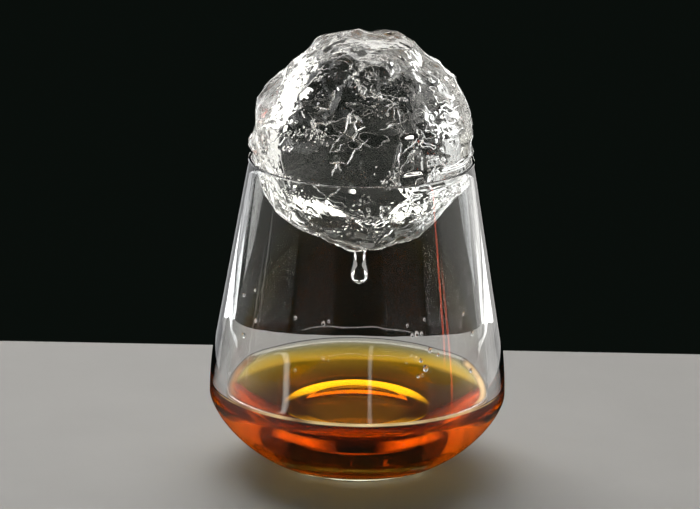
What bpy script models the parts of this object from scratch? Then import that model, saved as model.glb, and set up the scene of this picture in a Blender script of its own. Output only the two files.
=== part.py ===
"""Rum on the rocks: a stemless tumbler with a shallow pour of rum.

A large clear ice ball rests on the tumbler's rim, over the rum, and a drop of
meltwater hangs from the lowest point of the ball. Z is up, the tumbler stands
on z = 0, and the origin is the centre of its foot.
"""

import math

import bmesh
import bpy
import numpy as np

MM = 0.001

# The outside of the tumbler.
GLASS_HEIGHT = 97.3 * MM
RIM_RADIUS = 35.05 * MM
LIP_THICKNESS = 1.4 * MM
BELLY_RADIUS = 46.0 * MM
BELLY_HEIGHT = 22.0 * MM
SIDE_ARC_RADIUS = 123.0 * MM
BODY_FULLNESS = 1.45
FOOT_RADIUS = 22.0 * MM
PUNT_RADIUS = 18.5 * MM
PUNT_RISE = 1.0 * MM

# The inside of the tumbler, whose wall is thin at the lip and heavy at the base.
CAVITY_RADIUS = 41.3 * MM
CAVITY_HEIGHT = 25.0 * MM
CAVITY_ARC_RADIUS = 170.0 * MM
CAVITY_FULLNESS = 1.7
FLOOR_RADIUS = 21.0 * MM
FLOOR_HEIGHT = 6.0 * MM

# The rum, whose edge climbs the wall in a small meniscus.
RUM_LEVEL = 23.6 * MM
MENISCUS_RISE = 1.0 * MM
MENISCUS_REACH = 1.0 * MM

# The ice ball, a faceted and melted sphere.
ICE_RADIUS = 34.1 * MM
ICE_CENTRE = (0.5 * MM, 0.0, 101.9 * MM)
ICE_SEED = 7
FACET_COUNT = 64
FACET_SCATTER = 0.12
FACET_DEPTH = 0.035
FACET_CLEARANCE = 24.0
RIDGE_SHARPNESS = 60
SCOOP_COUNT = 46
SCOOP_DEPTH = (0.1 * MM, 0.5 * MM)
SCOOP_WIDTH = (5.0, 11.0)
RIPPLE_COUNT = 14
RIPPLE_HEIGHT = 0.05 * MM
RIPPLE_LENGTH = (6.0 * MM, 12.0 * MM)

# The large facets round the ball's outline as it is seen from the front and a
# little above: the angle up from +X in that view, and the distance to the facet.
VIEW_LIFT = 17.0
OUTLINE_FACETS = (
    (0.0, 32.8 * MM),
    (24.0, 33.4 * MM),
    (54.0, 33.1 * MM),
    (96.0, 34.2 * MM),
    (132.0, 33.4 * MM),
    (172.0, 33.5 * MM),
    (200.0, 33.7 * MM),
    (222.0, 33.6 * MM),
    (246.0, 32.5 * MM),
    (282.0, 32.9 * MM),
    (318.0, 32.2 * MM),
)

# The ledges of ice that bear on the rim (bearing and latitude in degrees), and
# the groove that the lip has melted under them.
LEDGES = ((184.0, -2.0), (72.0, -3.0), (296.0, -3.0), (350.0, -5.0))
LEDGE_HEIGHT = 1.1 * MM
LEDGE_WIDTH = 9.0
SEAT_BAND = 3.5
SEAT_FADE = 7.0

# The drop of meltwater, measured down from the ball's lowest point.
ICE_DEPTH = 33.7 * MM
DRIP_FADE = 10.0
DROP_FLARE_RADIUS = 3.1 * MM
DROP_NECK_RADIUS = 1.85 * MM
DROP_NECK_DEPTH = 3.4 * MM
DROP_RADIUS = 2.55 * MM
DROP_LENGTH = 11.1 * MM

GAP = 0.3 * MM
TURN_STEPS = 48
DROP_STEPS = 20
ICE_SUBDIVISIONS = 5
MERGE = 0.00001


def clear_scene():
    for old in list(bpy.data.objects):
        bpy.data.objects.remove(old)


def make_material(name, colour, roughness, transmission, ior):
    """A Principled material of one colour for a clear part."""
    material = bpy.data.materials.new(name)
    material.use_nodes = True
    shader = material.node_tree.nodes["Principled BSDF"]
    shader.inputs["Base Color"].default_value = (*colour, 1.0)
    shader.inputs["Roughness"].default_value = roughness
    shader.inputs["Metallic"].default_value = 0.0
    shader.inputs["Transmission Weight"].default_value = transmission
    shader.inputs["IOR"].default_value = ior
    return material


def side_outline(top_radius, top_height, widest, widest_height, arc_radius, steps):
    """(radius, height) from the widest point up an arc and then straight to the top.

    The arc starts upright and ends where its tangent runs through the top point.
    """
    centre_radius = widest - arc_radius
    across, up = top_radius - centre_radius, top_height - widest_height
    reach = math.hypot(across, up)
    end_angle = math.atan2(up, across) - math.acos(arc_radius / reach)
    angles = np.linspace(0.0, end_angle, steps + 1)
    arc = np.column_stack(
        (
            centre_radius + arc_radius * np.cos(angles),
            widest_height + arc_radius * np.sin(angles),
        )
    )
    return np.vstack((arc, (top_radius, top_height)))


def bowl_outline(foot_radius, foot_height, widest, widest_height, fullness, steps):
    """(radius, height) from the foot out and up to the widest point, on a superellipse."""
    angles = np.linspace(0.0, math.pi / 2, steps + 1)
    power = 2.0 / fullness
    across = np.sin(angles) ** power
    up = 1.0 - np.cos(angles).clip(0.0) ** power
    return np.column_stack(
        (
            foot_radius + (widest - foot_radius) * across,
            foot_height + (widest_height - foot_height) * up,
        )
    )


def lip_outline(steps):
    """The half round of the lip, from its inner side over the top to its outer side."""
    half = LIP_THICKNESS / 2
    angles = np.linspace(math.pi, 0.0, steps + 1)
    return np.column_stack(
        (
            RIM_RADIUS - half + half * np.cos(angles),
            GLASS_HEIGHT - half + half * np.sin(angles),
        )
    )


def punt_outline(steps):
    """The hollow under the foot, from its edge in to the axis."""
    share = np.linspace(1.0, 0.0, steps + 1)
    return np.column_stack((PUNT_RADIUS * share, PUNT_RISE * (1.0 - share**2)))


def cavity_outline():
    """The tumbler's inside, from the floor's edge up to the lip."""
    bowl = bowl_outline(
        FLOOR_RADIUS, FLOOR_HEIGHT, CAVITY_RADIUS, CAVITY_HEIGHT, CAVITY_FULLNESS, 9
    )
    side = side_outline(
        RIM_RADIUS - LIP_THICKNESS,
        GLASS_HEIGHT - LIP_THICKNESS / 2,
        CAVITY_RADIUS,
        CAVITY_HEIGHT,
        CAVITY_ARC_RADIUS,
        4,
    )
    return np.vstack((bowl, side[1:]))


def body_outline():
    """The tumbler's outside, from the foot's edge up to the lip."""
    bowl = bowl_outline(FOOT_RADIUS, 0.0, BELLY_RADIUS, BELLY_HEIGHT, BODY_FULLNESS, 12)
    side = side_outline(
        RIM_RADIUS,
        GLASS_HEIGHT - LIP_THICKNESS / 2,
        BELLY_RADIUS,
        BELLY_HEIGHT,
        SIDE_ARC_RADIUS,
        5,
    )
    return np.vstack((bowl, side[1:]))


def turned(name, outline, steps, material, collection):
    """A solid turned about Z from (radius, height) points, which run down its outside."""
    points = [(radius, 0.0, height) for radius, height in outline]
    edges = [(i, i + 1) for i in range(len(points) - 1)]
    mesh = bpy.data.meshes.new(name)
    mesh.from_pydata(points, edges, [])
    mesh.materials.append(material)
    solid = bpy.data.objects.new(name, mesh)
    collection.objects.link(solid)
    screw = solid.modifiers.new("turn", "SCREW")
    screw.axis = "Z"
    screw.angle = 2 * math.pi
    screw.steps = screw.render_steps = steps
    screw.use_merge_vertices = True
    screw.merge_threshold = MERGE
    screw.use_smooth_shade = True
    return solid


def make_glass(collection):
    material = make_material("clear_glass", (0.95, 0.97, 0.96), 0.02, 1.0, 1.52)
    inside = np.vstack(((0.0, FLOOR_HEIGHT), cavity_outline()))
    outside = body_outline()[::-1]
    outline = np.vstack((inside, lip_outline(6)[1:], outside[1:], punt_outline(3)))
    return turned("glass", outline, TURN_STEPS, material, collection)


def inset(outline, distance):
    """The outline moved towards the axis and up by a distance along its own normals."""
    along = np.gradient(outline, axis=0)
    along /= np.linalg.norm(along, axis=1)[:, None]
    return outline + distance * np.column_stack((-along[:, 1], along[:, 0]))


def wall_radius(heights):
    """The cavity's radius at these heights, less the gap that the rum keeps to it."""
    wall = inset(cavity_outline(), GAP)
    return np.interp(heights, wall[:, 1], wall[:, 0])


def meniscus(radii, wall):
    """Height of the rum's surface: level, with an exponential rise up to the wall."""
    return RUM_LEVEL + MENISCUS_RISE * np.exp((radii - wall) / MENISCUS_REACH)


def make_rum(collection):
    material = make_material("rum", (0.80, 0.32, 0.05), 0.0, 1.0, 1.36)
    wall = wall_radius(RUM_LEVEL + MENISCUS_RISE)
    radii = wall - np.array((wall, 12.0 * MM, 3.2 * MM, 1.6 * MM, 0.7 * MM, 0.0))
    surface = np.column_stack((radii, meniscus(radii, wall)))
    sides = inset(cavity_outline(), GAP)
    sides = sides[sides[:, 1] < RUM_LEVEL + 0.5 * MENISCUS_RISE][::-1]
    floor = (0.0, FLOOR_HEIGHT + GAP)
    outline = np.vstack((surface, sides, floor))
    return turned("rum", outline, TURN_STEPS, material, collection)


def even_directions(count):
    """Unit vectors spread evenly over the sphere on a golden spiral."""
    index = np.arange(count)
    height = 1.0 - 2.0 * (index + 0.5) / count
    around = index * math.pi * (3.0 - math.sqrt(5.0))
    across = np.sqrt(1.0 - height**2)
    return np.column_stack((across * np.cos(around), across * np.sin(around), height))


def unit(vectors):
    return vectors / np.linalg.norm(vectors, axis=-1, keepdims=True)


def direction(bearing, latitude):
    """The unit vector at a bearing from +X and a latitude, both in degrees."""
    turn, lift = math.radians(bearing), math.radians(latitude)
    return np.array(
        (math.cos(lift) * math.cos(turn), math.cos(lift) * math.sin(turn), math.sin(lift))
    )


def angle_to(rays, axis):
    """The angle in degrees between each ray and an axis."""
    return np.degrees(np.arccos((rays @ axis).clip(-1.0, 1.0)))


def outline_normals():
    """The normals of the outline facets, in a plane that leans back by the view's lift."""
    angles = np.radians([angle for angle, _ in OUTLINE_FACETS])
    lift = math.radians(VIEW_LIFT)
    up = np.sin(angles)
    return np.column_stack((np.cos(angles), up * math.sin(lift), up * math.cos(lift)))


def facets(rays, draw):
    """Distance to the nearest of many cut planes, with the ridges between them eased."""
    shown = outline_normals()
    others = even_directions(FACET_COUNT)
    others = unit(others + FACET_SCATTER * draw.normal(size=others.shape))
    depths = ICE_RADIUS * (1.0 - FACET_DEPTH * draw.random(FACET_COUNT))
    free = (others @ shown.T).max(axis=1) < math.cos(math.radians(FACET_CLEARANCE))
    normals = np.vstack((shown, others[free]))
    depths = np.concatenate(([depth for _, depth in OUTLINE_FACETS], depths[free]))
    closeness = (rays @ normals.T).clip(0.05) * ICE_RADIUS / depths
    nearest = (closeness**RIDGE_SHARPNESS).sum(axis=1) ** (-1.0 / RIDGE_SHARPNESS)
    return ICE_RADIUS * nearest


def scoops(rays, draw):
    """Depth of the shallow hollows that melting leaves."""
    centres = unit(draw.normal(size=(SCOOP_COUNT, 3)))
    depths = draw.uniform(*SCOOP_DEPTH, SCOOP_COUNT)
    widths = draw.uniform(*SCOOP_WIDTH, SCOOP_COUNT)
    angles = np.degrees(np.arccos((rays @ centres.T).clip(-1.0, 1.0)))
    return (depths * np.exp(-((angles / widths) ** 2))).sum(axis=1)


def ripples(rays, draw):
    """Height of a fine waviness, the sum of plane waves through the ball."""
    waves = unit(draw.normal(size=(RIPPLE_COUNT, 3)))
    lengths = draw.uniform(*RIPPLE_LENGTH, RIPPLE_COUNT)
    phases = draw.uniform(0.0, 2.0 * math.pi, RIPPLE_COUNT)
    turns = 2.0 * math.pi * ICE_RADIUS * (rays @ waves.T) / lengths + phases
    return RIPPLE_HEIGHT * np.sin(turns).sum(axis=1)


def seat_limit(rays):
    """The furthest that the ice may reach beside the lip, along each ray.

    In the band of latitude that faces the lip this is the distance to the lip's
    round, less the gap. It eases off above and below the band.
    """
    lip_half = LIP_THICKNESS / 2
    lip_ring = RIM_RADIUS - lip_half
    drop = ICE_CENTRE[2] - (GLASS_HEIGHT - lip_half)
    across = np.hypot(rays[:, 0], rays[:, 1]).clip(1e-6)
    ring = lip_ring - ICE_CENTRE[0] * rays[:, 0] / across
    reach = np.hypot(ring, drop) - lip_half - GAP
    away = np.degrees(np.abs(np.arctan2(rays[:, 2], across) + np.arctan2(drop, ring)))
    ease = ((away - SEAT_BAND) / SEAT_FADE).clip(0.0, 1.0)
    return reach + 0.1 * ICE_RADIUS * ease**2


def ice_radius(rays):
    """The ball's radius along unit rays from its centre."""
    draw = np.random.default_rng(ICE_SEED)
    radius = facets(rays, draw) - scoops(rays, draw) + ripples(rays, draw)
    for bearing, latitude in LEDGES:
        away = angle_to(rays, direction(bearing, latitude)) / LEDGE_WIDTH
        radius += LEDGE_HEIGHT * np.exp(-(away**4))
    beside_drip = np.exp(-((angle_to(rays, direction(0.0, -90.0)) / DRIP_FADE) ** 4))
    level = ICE_DEPTH / (-rays[:, 2]).clip(0.5)
    radius = radius * (1.0 - beside_drip) + level * beside_drip
    return np.minimum(radius, seat_limit(rays))


def make_ice_ball(collection):
    material = make_material("clear_ice", (0.97, 0.98, 0.99), 0.03, 1.0, 1.31)
    cage = bmesh.new()
    bmesh.ops.create_icosphere(cage, subdivisions=ICE_SUBDIVISIONS, radius=1.0)
    mesh = bpy.data.meshes.new("ice_ball")
    cage.to_mesh(mesh)
    cage.free()
    rays = np.empty(len(mesh.vertices) * 3)
    mesh.vertices.foreach_get("co", rays)
    rays = unit(rays.reshape(-1, 3))
    mesh.vertices.foreach_set("co", (rays * ice_radius(rays)[:, None]).ravel())
    mesh.materials.append(material)
    mesh.update()
    ball = bpy.data.objects.new("ice_ball", mesh)
    ball.location = ICE_CENTRE
    collection.objects.link(ball)
    return ball


def drop_outline():
    """The drop's outline below its top: a flared foot, a neck and a round belly."""
    depths = np.linspace(0.0, DROP_NECK_DEPTH, 5)
    flare = (1.0 - depths / DROP_NECK_DEPTH) ** 2.2
    neck = DROP_NECK_RADIUS + (DROP_FLARE_RADIUS - DROP_NECK_RADIUS) * flare
    belly_depth = DROP_LENGTH - DROP_RADIUS
    swell = np.linspace(0.0, 1.0, 5)[1:]
    belly = DROP_NECK_RADIUS + (DROP_RADIUS - DROP_NECK_RADIUS) * np.sin(
        swell * math.pi / 2
    ) ** 2
    belly_depths = DROP_NECK_DEPTH + (belly_depth - DROP_NECK_DEPTH) * swell
    tip = np.linspace(0.0, math.pi / 2, 5)[1:]
    return np.vstack(
        (
            (0.0, 0.0),
            np.column_stack((neck, -depths)),
            np.column_stack((belly, -belly_depths)),
            np.column_stack(
                (DROP_RADIUS * np.cos(tip), -belly_depth - DROP_RADIUS * np.sin(tip))
            ),
        )
    )


def make_melt_drop(collection):
    material = make_material("meltwater", (0.97, 0.98, 0.99), 0.0, 1.0, 1.33)
    outline = drop_outline()
    outline[-1, 0] = 0.0
    drop = turned("melt_drop", outline, DROP_STEPS, material, collection)
    drop.location = (0.0, 0.0, ICE_CENTRE[2] - ICE_DEPTH - GAP)
    return drop


def main():
    clear_scene()
    collection = bpy.data.collections.new("rum_on_the_rocks")
    bpy.context.scene.collection.children.link(collection)
    foot = bpy.data.objects.new("foot_centre", None)
    collection.objects.link(foot)
    for make in (make_glass, make_rum, make_ice_ball, make_melt_drop):
        make(collection).parent = foot


main()
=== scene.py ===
# Rum on the rocks: a clear ice ball on the rim of a stemless tumbler, dripping into a pour of rum.
import math

import bpy
import numpy as np
from mathutils import Matrix, Vector


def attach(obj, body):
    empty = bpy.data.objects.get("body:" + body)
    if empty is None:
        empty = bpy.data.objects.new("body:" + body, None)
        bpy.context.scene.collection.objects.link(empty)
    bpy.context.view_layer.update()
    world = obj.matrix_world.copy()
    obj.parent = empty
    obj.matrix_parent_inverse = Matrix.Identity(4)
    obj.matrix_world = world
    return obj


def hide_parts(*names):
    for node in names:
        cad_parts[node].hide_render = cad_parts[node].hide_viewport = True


mm = 0.001
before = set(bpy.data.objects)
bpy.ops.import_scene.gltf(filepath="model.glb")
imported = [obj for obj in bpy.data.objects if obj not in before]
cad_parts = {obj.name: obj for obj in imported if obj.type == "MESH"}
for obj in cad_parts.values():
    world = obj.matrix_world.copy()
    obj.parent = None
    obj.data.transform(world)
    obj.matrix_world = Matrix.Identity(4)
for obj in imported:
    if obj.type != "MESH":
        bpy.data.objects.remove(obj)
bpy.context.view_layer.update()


def meshObject(name, points, faces, material):
    # A smooth mesh object at the origin, with its place in its vertices; the faces are lists of corners.
    mesh = bpy.data.meshes.new(name)
    mesh.from_pydata(points.tolist(), [], faces)
    mesh.polygons.foreach_set("use_smooth", np.ones(len(mesh.polygons), bool))
    mesh.materials.append(material)
    mesh.update()
    made = bpy.data.objects.new(name, mesh)
    bpy.context.scene.collection.objects.link(made)
    return made


def ringFaces(rings, around):
    # Quads between each ring of points and the next, closed round the axis; rings run down the outside.
    row = np.arange(rings - 1)[:, None] * around
    col = np.arange(around)[None, :]
    nextCol = (col + 1) % around
    corners = (row + col, row + around + col, row + around + nextCol, row + nextCol)
    return np.stack(corners, -1).reshape(-1, 4).tolist()


def capFaces(first, around, tip, flip):
    # Triangles from one ring to a single point on the axis.
    col = first + np.arange(around)
    nextCol = first + (np.arange(around) + 1) % around
    order = (nextCol, col) if flip else (col, nextCol)
    return np.stack((order[0], order[1], np.full(around, tip)), -1).tolist()


def skinFaces(rings, around, first=0, inwards=False):
    # The faces of a closed skin of rings from the top down, with its top and bottom points after them.
    last = rings * around
    faces = ringFaces(rings, around) + capFaces(0, around, last, False)
    faces += capFaces((rings - 1) * around, around, last + 1, True)
    return [[corner + first for corner in (face[::-1] if inwards else face)] for face in faces]


def closedRings(name, top, rings, bottom, material):
    # A closed skin: rings of points down the outside (rings, around, 3), a top point and a bottom point.
    points = np.vstack((rings.reshape(-1, 3), [top], [bottom]))
    return meshObject(name, points, skinFaces(*rings.shape[:2]), material)


def turned(name, outline, around, material):
    # (radius, height) points carried round Z: x = r cos a, y = r sin a, with a point at each end on the axis.
    angle = np.linspace(0.0, 2.0 * math.pi, around, endpoint=False)
    inner = outline[1:-1]
    rings = np.empty((len(inner), around, 3))
    rings[..., 0] = inner[:, :1] * np.cos(angle)
    rings[..., 1] = inner[:, :1] * np.sin(angle)
    rings[..., 2] = inner[:, 1:]
    return closedRings(name, (0.0, 0.0, outline[0, 1]), rings, (0.0, 0.0, outline[-1, 1]), material)


def latticeValue(cell, seed):
    # A repeatable number from 0 to 1 for each whole-number lattice point, stirred up by large odd factors.
    x, y, z = (cell[..., i].astype(np.int64) for i in range(3))
    mixed = (x * 374761393 + y * 668265263 + z * 2147483647 + seed * 1274126177) & 0x7FFFFFFF
    mixed = ((mixed ^ (mixed >> 13)) * 1103515245 + 12345) & 0x7FFFFFFF
    mixed = ((mixed ^ (mixed >> 16)) * 69069 + 1) & 0x7FFFFFFF
    return (mixed & 0xFFFFFF) / float(0xFFFFFF)


def smoothNoise(points, seed):
    # Lattice values blended with 3t^2 - 2t^3 along each axis, from -1 to 1.
    cell = np.floor(points)
    part = points - cell
    ease = part * part * (3.0 - 2.0 * part)
    total = np.zeros(len(points))
    for corner in range(8):
        step = np.array((corner & 1, corner >> 1 & 1, corner >> 2 & 1))
        weight = np.where(step, ease, 1.0 - ease).prod(axis=1)
        total += weight * latticeValue(cell + step, seed)
    return 2.0 * total - 1.0


def warped(points, amount, size, seed):
    # Points pushed about by three noises, which bends whatever pattern is then read from them.
    apart = 17.3
    push = [smoothNoise(points / size + apart * i, seed + i) for i in range(3)]
    return points + amount * np.column_stack(push)


def bent(points, size, amount, length, seed):
    # The points in units of a pattern's size, warped by amounts that are also given in sizes.
    return warped(points, amount * size, length * size, seed) / size


def lineNoise(along, offset, seed):
    # Smooth noise read along a straight line.
    return smoothNoise(np.column_stack((along, 0.0 * along, 0.0 * along + offset)), seed)


def creased(points, seed):
    # 1 - 2 |noise|: sharp ridges where the noise changes sign.
    return 1.0 - 2.0 * np.abs(smoothNoise(points, seed))


def neighbours(points, seed):
    # Each of the 27 lattice cells about the points, and the way from the points to its jittered point.
    cell = np.floor(points)
    for corner in range(27):
        here = cell + np.array((corner % 3 - 1, corner // 3 % 3 - 1, corner // 9 - 1))
        jitter = np.column_stack([latticeValue(here, seed + i) for i in range(3)])
        yield here, here + jitter - points


farAway = 9.0  # further, in cells, than any neighbour's point


def cellDistance(points, seed):
    # Distance to the nearest of one jittered point in each lattice cell.
    nearest = np.full(len(points), farAway)
    for _, way in neighbours(points, seed):
        nearest = np.minimum(nearest, np.linalg.norm(way, axis=1))
    return nearest


def brokenCells(points, seed):
    # |dx| + |dy| + |dz| to the nearest jittered point, for flat-sided pits, and that cell's own number.
    nearest = np.full(len(points), farAway)
    number = np.zeros(len(points))
    for here, way in neighbours(points, seed):
        away = np.abs(way).sum(axis=1)
        closer = away < nearest
        nearest = np.where(closer, away, nearest)
        number = np.where(closer, latticeValue(here, seed + 3), number)
    return nearest, number


def unit(vectors):
    return vectors / np.linalg.norm(vectors, axis=-1, keepdims=True)


def feed(tree, socket, value):
    # A socket takes another node's output, or a constant.
    if isinstance(value, bpy.types.NodeSocket):
        tree.links.new(value, socket)
    else:
        socket.default_value = value


def noiseNode(tree, place, scale, detail):
    noise = tree.nodes.new("ShaderNodeTexNoise")
    noise.inputs["Detail"].default_value = detail
    feed(tree, noise.inputs["Scale"], scale)
    tree.links.new(place, noise.inputs["Vector"])
    return noise


def mapNode(tree, value, fromEnds, toEnds=(0.0, 1.0)):
    # Carries a value from one range to another, and holds it at the ends.
    carry = tree.nodes.new("ShaderNodeMapRange")
    tree.links.new(value, carry.inputs["Value"])
    for name, end in zip(("From Min", "From Max", "To Min", "To Max"), (*fromEnds, *toEnds)):
        feed(tree, carry.inputs[name], end)
    return carry


def mathNode(tree, operation, *terms):
    result = tree.nodes.new("ShaderNodeMath")
    result.operation = operation
    for socket, term in zip(result.inputs, terms):
        feed(tree, socket, term)
    return result.outputs["Value"]


def mixNode(tree, share, first, second):
    # The colour between two, by the share of the second; a colour's sockets are 6, 7 and, going out, 2.
    mix = tree.nodes.new("ShaderNodeMix")
    mix.data_type = "RGBA"
    for number, value in ((0, share), (6, first), (7, second)):
        feed(tree, mix.inputs[number], value)
    return mix.outputs[2]


def bumpNode(tree, height, distance):
    bump = tree.nodes.new("ShaderNodeBump")
    bump.inputs["Strength"].default_value = 1.0
    bump.inputs["Distance"].default_value = distance
    tree.links.new(height, bump.inputs["Height"])
    return bump


def newMaterial(name):
    material = bpy.data.materials.new(name)
    material.use_nodes = True
    tree = material.node_tree
    return material, tree, tree.nodes["Principled BSDF"]


def objectPlace(tree):
    return tree.nodes.new("ShaderNodeTexCoord").outputs["Object"]


def makeWetFilm():
    # Node group: the slight unevenness and smears that every clear wet surface here has.
    group = bpy.data.node_groups.new("wetFilm", "ShaderNodeTree")
    face = group.interface
    face.new_socket("Place", in_out="INPUT", socket_type="NodeSocketVector")
    for name, start in (("Ripple Scale", 300.0), ("Smear Scale", 60.0), ("Smeared", 0.05)):
        face.new_socket(name, in_out="INPUT", socket_type="NodeSocketFloat").default_value = start
    for name in ("Roughness", "Height"):
        face.new_socket(name, in_out="OUTPUT", socket_type="NodeSocketFloat")
    enter, leave = group.nodes.new("NodeGroupInput"), group.nodes.new("NodeGroupOutput")
    given = enter.outputs
    ripple = noiseNode(group, given["Place"], given["Ripple Scale"], 2.0)
    smear = noiseNode(group, given["Place"], given["Smear Scale"], 4.0)
    spread = mapNode(group, smear.outputs["Fac"], (0.45, 0.75), (0.0, given["Smeared"]))
    group.links.new(spread.outputs["Result"], leave.inputs["Roughness"])
    group.links.new(ripple.outputs["Fac"], leave.inputs["Height"])
    return group


wetFilm = makeWetFilm()


def clearMaterial(name, look):
    # A clear Principled with the wet film's roughness and ripples, and an optional tint through its depth.
    material, tree, shader = newMaterial(name)
    shader.inputs["Base Color"].default_value = (*look["tint"], 1.0)
    shader.inputs["Transmission Weight"].default_value = 1.0
    shader.inputs["IOR"].default_value = look["ior"]
    wet = tree.nodes.new("ShaderNodeGroup")
    wet.node_tree = wetFilm
    for socket, value in look["film"].items():
        wet.inputs[socket].default_value = value
    tree.links.new(objectPlace(tree), wet.inputs["Place"])
    tree.links.new(wet.outputs["Roughness"], shader.inputs["Roughness"])
    bump = bumpNode(tree, wet.outputs["Height"], look["ripple"])
    tree.links.new(bump.outputs["Normal"], shader.inputs["Normal"])
    if "swallow" in look:
        depthTint = tree.nodes.new("ShaderNodeVolumeAbsorption")
        depthTint.inputs["Color"].default_value = (*look["swallow"]["colour"], 1.0)
        depthTint.inputs["Density"].default_value = look["swallow"]["density"]
        tree.links.new(depthTint.outputs["Volume"], tree.nodes["Material Output"].inputs["Volume"])
    return material


tumbler = {
    "height": 97.3 * mm,
    "rimRadius": 35.05 * mm,
    "lipThickness": 1.4 * mm,
    "bellyRadius": 46.0 * mm,
    "bellyHeight": 22.0 * mm,
    "sideArc": 123.0 * mm,
    "fullness": 1.45,
    "footRadius": 22.0 * mm,
    "puntRadius": 18.5 * mm,
    "puntRise": 1.0 * mm,
    "cavityRadius": 41.3 * mm,
    "cavityHeight": 25.0 * mm,
    "cavityArc": 170.0 * mm,
    "cavityFullness": 1.7,
    "floorRadius": 21.0 * mm,
    "floorHeight": 6.0 * mm,
    "around": 288,
    "steps": {"bowl": 60, "arc": 36, "line": 16, "floor": 12, "lip": 17, "punt": 16},
    "tint": (0.99, 1.0, 0.995),
    "ior": 1.52,
    "film": {"Ripple Scale": 60.0, "Smear Scale": 45.0, "Smeared": 0.012},
    "ripple": 0.00002,
}


def sideOutline(topRadius, topHeight, widest, widestHeight, arcRadius, steps):
    # Up an arc that starts upright at the widest point, then straight along its last tangent to the top.
    centre = widest - arcRadius
    across, up = topRadius - centre, topHeight - widestHeight
    end = math.atan2(up, across) - math.acos(arcRadius / math.hypot(across, up))
    angle = np.linspace(0.0, end, steps["arc"] + 1)
    arc = np.column_stack((centre + arcRadius * np.cos(angle), widestHeight + arcRadius * np.sin(angle)))
    share = np.linspace(0.0, 1.0, steps["line"] + 1)[1:, None]
    return np.vstack((arc, arc[-1] + share * (np.array((topRadius, topHeight)) - arc[-1])))


def bowlOutline(footRadius, footHeight, widest, widestHeight, fullness, steps):
    # r = foot + (widest - foot) sin(u)^(2/n), z = foot height + rise (1 - cos(u)^(2/n)).
    u = np.linspace(0.0, math.pi / 2, steps["bowl"] + 1)
    power = 2.0 / fullness
    radii = footRadius + (widest - footRadius) * np.sin(u) ** power
    heights = footHeight + (widestHeight - footHeight) * (1.0 - np.cos(u).clip(0.0) ** power)
    return np.column_stack((radii, heights))


def cavityOutline(t):
    # The tumbler's inside, from the floor's edge up to the lip.
    widest = (t["cavityRadius"], t["cavityHeight"])
    top = (t["rimRadius"] - t["lipThickness"], t["height"] - t["lipThickness"] / 2)
    bowl = bowlOutline(t["floorRadius"], t["floorHeight"], *widest, t["cavityFullness"], t["steps"])
    return np.vstack((bowl, sideOutline(*top, *widest, t["cavityArc"], t["steps"])[1:]))


def tumblerOutline(t):
    # From the middle of the floor up the inside, over the round lip, down the outside and in to the punt.
    steps = t["steps"]
    floorShare = np.linspace(0.0, 1.0, steps["floor"])[:, None]
    floorLine = floorShare * (t["floorRadius"], 0.0) + (0.0, t["floorHeight"])
    half = t["lipThickness"] / 2
    turn = np.linspace(math.pi, 0.0, steps["lip"])
    lipRadii = t["rimRadius"] - half + half * np.cos(turn)
    lip = np.column_stack((lipRadii, t["height"] - half + half * np.sin(turn)))
    widest = (t["bellyRadius"], t["bellyHeight"])
    bowl = bowlOutline(t["footRadius"], 0.0, *widest, t["fullness"], steps)
    side = sideOutline(t["rimRadius"], t["height"] - half, *widest, t["sideArc"], steps)
    body = np.vstack((bowl, side[1:]))[::-1]
    share = np.linspace(1.0, 0.0, steps["punt"])
    punt = np.column_stack((t["puntRadius"] * share, t["puntRise"] * (1.0 - share**2)))
    return np.vstack((floorLine[:-1], cavityOutline(t), lip[1:], body[1:], punt))


glassMaterial = clearMaterial("tumblerGlass", tumbler)
glass = turned("tumblerGlass", tumblerOutline(tumbler), tumbler["around"], glassMaterial)
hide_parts("glass")
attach(glass, "root")
print("tumbler made")


pour = {
    "level": 23.6 * mm,
    "rise": 1.2 * mm,
    "reach": 1.2 * mm,
    "intoWall": 0.12 * mm,
    "edgeZone": 8.0 * mm,
    "closest": 0.02 * mm,
    "under": 0.1 * mm,
    "around": 288,
    "steps": {"middle": 12, "edge": 26, "floor": 8},
    "tint": (1.0, 1.0, 1.0),
    "ior": 1.36,
    "film": {"Ripple Scale": 90.0, "Smear Scale": 30.0, "Smeared": 0.0},
    "ripple": 0.00001,
    "swallow": {"colour": (0.915, 0.785, 0.06), "density": 250.0},
}


def grown(outline, distance):
    # The outline moved outwards, away from the axis, along its own normals.
    along = np.gradient(outline, axis=0)
    along = along / np.linalg.norm(along, axis=1)[:, None]
    return outline + distance * np.column_stack((along[:, 1], -along[:, 0]))


def pourOutline(t, p):
    # Level in the middle, with an exponential rise to the wall; then down just inside the wall and floor.
    steps = p["steps"]
    wall = grown(cavityOutline(t), p["intoWall"])
    top = p["level"] + p["rise"]
    edge = np.interp(top, wall[:, 1], wall[:, 0])
    inMiddle = np.linspace(edge, p["edgeZone"], steps["middle"])[:-1]
    nearEdge = np.geomspace(p["edgeZone"], p["closest"], steps["edge"])
    depthIn = np.concatenate((inMiddle, nearEdge, [0.0]))
    surface = np.column_stack((edge - depthIn, p["level"] + p["rise"] * np.exp(-depthIn / p["reach"])))
    surface[0, 0] = 0.0
    sides = wall[wall[:, 1] < top - p["under"]][::-1]
    share = np.linspace(1.0, 0.0, steps["floor"])[1:]
    floorLine = np.column_stack((sides[-1, 0] * share, np.full(len(share), sides[-1, 1])))
    return np.vstack((surface, sides, floorLine))


rumMaterial = clearMaterial("amberRum", pour)
rum = turned("rumFill", pourOutline(tumbler, pour), pour["around"], rumMaterial)
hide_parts("rum")
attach(rum, "root")
print("rum made")


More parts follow.
